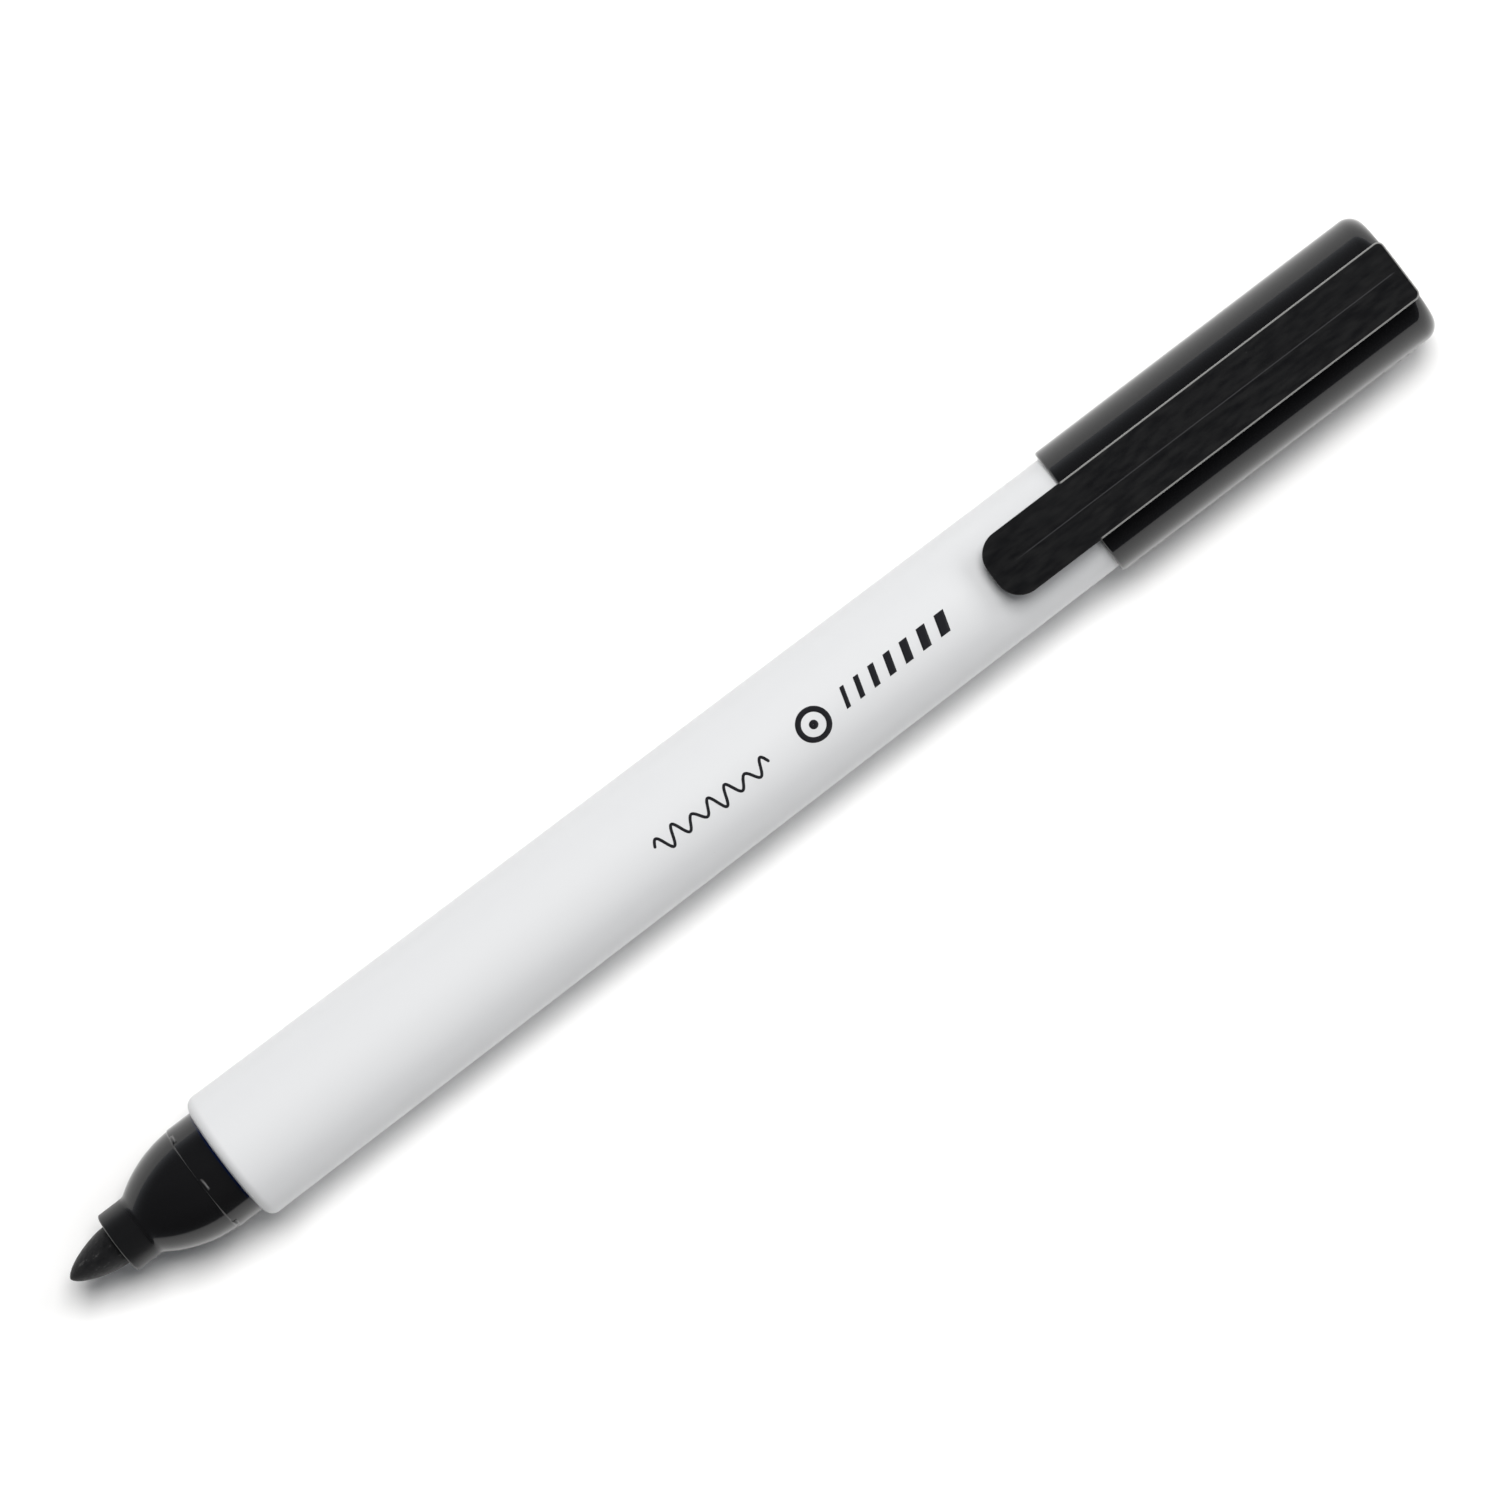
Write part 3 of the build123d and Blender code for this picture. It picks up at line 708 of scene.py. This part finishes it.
def clipSlab():
    # rings of the outline: from the underside's spine out to its edge, up the wall, round the top edge and in
    # to the spine along the top. Each ring inside the edge lies part of the way from the outline to the spine
    s = clipSet
    soft, under = s["edgeRound"], s["underRound"]
    angle = np.linspace(0, np.pi / 2, 7)
    rings, edgeLightMarks = [], []

    def towardsSpine(outline, share):
        front, rear = s["spineInset"]
        spine = np.column_stack([np.clip(outline[:, 0], clipStart + front, clipEnd - rear),
                                 np.zeros(len(outline))])
        return outline + (spine - outline) * share

    def addRing(flat, height, paintedHighlight=0.0):
        rings.append(np.column_stack([flat, axisZ + height]))
        edgeLightMarks.append(np.full(len(flat), paintedHighlight))
    edge = clipOutline(under)
    for share in (1.0, 0.6, 0.2, 0.02):
        addRing(towardsSpine(edge, share), np.full(len(edge), s["bottom"]))
    for a in angle:
        height = np.full(len(edge), s["bottom"] + under * (1 - np.cos(a)))
        addRing(clipOutline(under * (1 - np.sin(a))), height)
    rim = clipOutline(0)
    topHere = clipTop(rim[:, 0], rim[:, 1])
    addRing(rim, topHere - soft - 0.04)
    # the top edge's rounding carries the painted edge highlight
    for a in angle:
        flat = clipOutline(soft * (1 - np.cos(a)))
        addRing(flat, clipTop(flat[:, 0], flat[:, 1]) - soft * (1 - np.sin(a)), 1.0)
    edge = clipOutline(soft)
    for share in (0.015, 0.1, 0.3, 0.5, 0.7, 0.85, 0.94, 0.97, 0.985, 1.0):
        flat = towardsSpine(edge, share)
        addRing(flat, clipTop(flat[:, 0], flat[:, 1]))
    return np.vstack(rings), stitch(len(rings), len(edge), False, True), np.concatenate(edgeLightMarks)


def bar(section, half, soft=0.08):
    # a closed outline in (x, z) carried across the pen, its ends drawn in a little and closed to a point
    middle = section.mean(axis=0)
    places = [(-half, 0), (-half, soft), (-half + soft, 1), (half - soft, 1), (half, soft), (half, 0)]
    size = np.ptp(section, axis=0).max() / 2
    rings = []
    for y, state in places:
        share = {0: 0.0, 1: 1.0}.get(state, 1 - soft / size)
        flat = middle + (section - middle) * share
        rings.append(np.column_stack([flat[:, 0], np.full(len(flat), y), axisZ + flat[:, 1]]))
    return np.vstack(rings), stitch(len(rings), len(section), False, True)


def makeClip():
    s = clipSet
    # foot: a neck that widens into a round bar, as a keyhole outline
    reach = math.degrees(math.asin(s["neckHalf"] / s["footRadius"]))
    ring = arcPoints(pivotX, pivotZ, s["footRadius"], 90 + reach, 450 - reach, 40)[:, :2]
    neckTop = s["bottom"] + 0.3
    foot = np.vstack([ring, [(pivotX + s["neckHalf"], neckTop), (pivotX - s["neckHalf"], neckTop)]])
    # grip bump: the lower part of a round bar
    bumpX = clipStart + s["bumpInset"]
    bumpZ = barrelRadiusAt(bumpX) + s["bumpGap"] + s["bumpRadius"]
    rise = math.degrees(math.asin((s["bottom"] + 0.2 - bumpZ) / s["bumpRadius"]))
    bump = arcPoints(bumpX, bumpZ, s["bumpRadius"], 180 - rise, 360 + rise, 30)[:, :2]
    material, tree, shader, colour, _ = plastic("clipMatte", s["look"])
    # a thin pale painted highlight along the ridge starts behind the tip and stops before the rear
    along, across, up = placeAlong(tree)
    near = rescale(tree, maths(tree, "ABSOLUTE", across), 0.4 * s["ridgeHighlightHalf"] * mm, s["ridgeHighlightHalf"] * mm,
                   1.0, 0.0)
    start = rescale(tree, along, (clipStart + s["ridgeHighlightStart"]) * mm, (clipStart + s["ridgeHighlightFull"]) * mm, 0.0, 1.0)
    stop = rescale(tree, along, *[(clipEnd - inset) * mm for inset in s["ridgeHighlightStop"]], 1.0, 0.0)
    upper = rescale(tree, up, *[(axisZ + s["bottom"] + rise) * mm for rise in s["ridgeHighlightAbove"]], 0.0, 1.0)
    ridge = maths(tree, "MULTIPLY", maths(tree, "MULTIPLY", near, upper), maths(tree, "MULTIPLY", start, stop))
    # and a painted highlight on the long edges, over the cap only
    paintedHighlight = addNode(tree, "ShaderNodeAttribute", attribute_name="paintedHighlight").outputs["Fac"]
    overCap = rescale(tree, along, capStart * mm, (capStart + s["edgeHighlightFade"]) * mm, 0.0, 1.0)
    tree.links.new(blendColours(tree, maths(tree, "MULTIPLY", paintedHighlight, overCap),
                                blendColours(tree, ridge, colour, s["ridgeHighlight"]), s["edgeHighlight"]),
                   shader.inputs["Base Color"])
    *slab, edgeLightMarks = clipSlab()
    whole = gathered(slab, bar(foot, s["footHalf"]), bar(bump, s["bumpHalf"]))
    marks = {"paintedHighlight": np.pad(edgeLightMarks, (0, len(whole[0]) - len(edgeLightMarks)))}     # only the slab carries the painted highlight
    addPiece("pocketClip", whole, material, "cap_clip", ["clip"], marks)


makeCap()
print("cap done")
makeSeal()
print("seal done")
makeClip()
print("clip done")

sceneSet = {
    "viewTurn": 37.27,                   # degrees from the view's right edge up to the pen
    "cameraHeight": 905.5, "footX": 23.6, "lookX": 2.45, "lookY": 0.83, "lens": 258.95,
    "tableSize": 6.0, "tableColour": (0.93, 0.93, 0.93),
    # the room is dark overhead and brighter towards the horizon, more so on one side
    "overhead": 0.045, "horizon": 0.45, "rise": 6.0, "side": (0.2, 0.75, 0.0),
    "roomColour": (0.91, 0.955, 1.03),
    # softboxes: degrees from the pen's rear towards +Y, degrees from overhead, distance, size, brightness,
    # colour and whether gloss shows it. Key and rear are polarised, so that gloss doesn't
    "softboxes": {
        "key": (48, 20, 2200, 1050, 15.2, (1.0, 0.992, 0.98), False),
        "rear": (2, 48, 2200, 900, 6.0, (1.0, 0.995, 0.985), False),
        "fill": (-45, 52, 2200, 1000, 2.0, (0.96, 0.98, 1.0), True),
    },
}


def makeTable():
    # a wide pale sheet, level in the middle: its far edge is lost in the light
    s = sceneSet
    side = np.linspace(-1, 1, 41) * s["tableSize"] / 2 / mm
    x, y = np.meshgrid(side, side, indexing="ij")
    points = np.stack([x, y, np.full_like(x, -0.01)], axis=-1).reshape(-1, 3)
    material, tree, shader = newMaterial("tableSheet")
    place = addNode(tree, "ShaderNodeTexCoord").outputs["Object"]
    mottle = addNode(tree, "ShaderNodeTexNoise", {"Vector": place, "Scale": 9.0, "Detail": 4.0})
    pale = s["tableColour"]
    tree.links.new(blendColours(tree, mottle.outputs[0], [c * 0.99 for c in pale], pale),
                   shader.inputs["Base Color"])
    shader.inputs["Roughness"].default_value = 0.75
    shader.inputs["Specular IOR Level"].default_value = 0.2
    table = addPiece("tableSheet", (points, stitch(41, 41, False, False)), material)
    if table.data.polygons[0].normal.z < 0:
        table.data.flip_normals()


def makeLights():
    s = sceneSet
    for name, (turn, tilt, distance, size, brightness, colour, shows) in s["softboxes"].items():
        light = bpy.data.lights.new(name, "AREA")
        light.size, light.color = size * mm, colour
        light.energy = brightness * math.pi * light.size ** 2     # watts of a flat source that bright
        lamp = bpy.data.objects.new(name, light)
        around, down = math.radians(turn), math.radians(tilt)
        lamp.location = Vector((math.cos(around) * math.sin(down), math.sin(around) * math.sin(down),
                                math.cos(down))) * distance * mm
        lamp.rotation_euler = (-lamp.location).to_track_quat("-Z", "Y").to_euler()
        lamp.visible_glossy = shows
        scene.collection.objects.link(lamp)
    # brightness = (overhead + (horizon - overhead) * (1 - height)^rise) * (1 + direction . side)
    room = bpy.data.worlds.new("room")
    room.use_nodes = True
    tree = room.node_tree
    direction = addNode(tree, "ShaderNodeTexCoord").outputs["Generated"]
    height = addNode(tree, "ShaderNodeSeparateXYZ", {0: direction}).outputs[2]
    low = maths(tree, "SUBTRACT", 1.0, maths(tree, "MAXIMUM", height, 0.0))
    glow = maths(tree, "MULTIPLY", maths(tree, "POWER", low, s["rise"]), s["horizon"] - s["overhead"])
    lean = addNode(tree, "ShaderNodeVectorMath", {0: direction, 1: s["side"]}, operation="DOT_PRODUCT")
    lit = maths(tree, "MULTIPLY", maths(tree, "ADD", glow, s["overhead"]),
                maths(tree, "ADD", lean.outputs["Value"], 1.0))
    tree.nodes["Background"].inputs[0].default_value = (*s["roomColour"], 1)
    tree.links.new(lit, tree.nodes["Background"].inputs[1])
    scene.world = room
    scene.view_settings.view_transform = "Standard"


def makeCamera():
    # nearly straight down, with the pen turned up to the right
    s = sceneSet
    turn = math.radians(s["viewTurn"])
    place = Vector((s["footX"], 0, axisZ + s["cameraHeight"])) * mm
    aim = Vector((s["lookX"], s["lookY"], axisZ)) * mm
    back = (place - aim).normalized()
    top = Vector((math.sin(turn), math.cos(turn), 0))
    right = top.cross(back).normalized()
    camera = bpy.data.objects.new("camera", bpy.data.cameras.new("camera"))
    camera.data.lens, camera.data.sensor_width = s["lens"], 36.0
    camera.data.clip_start, camera.data.clip_end = 0.05, 20.0
    facing = Matrix((right, back.cross(right), back)).transposed().to_4x4()
    camera.matrix_world = Matrix.Translation(place) @ facing
    scene.collection.objects.link(camera)
    scene.camera = camera


makeTable()
makeLights()
makeCamera()
print("stage done")
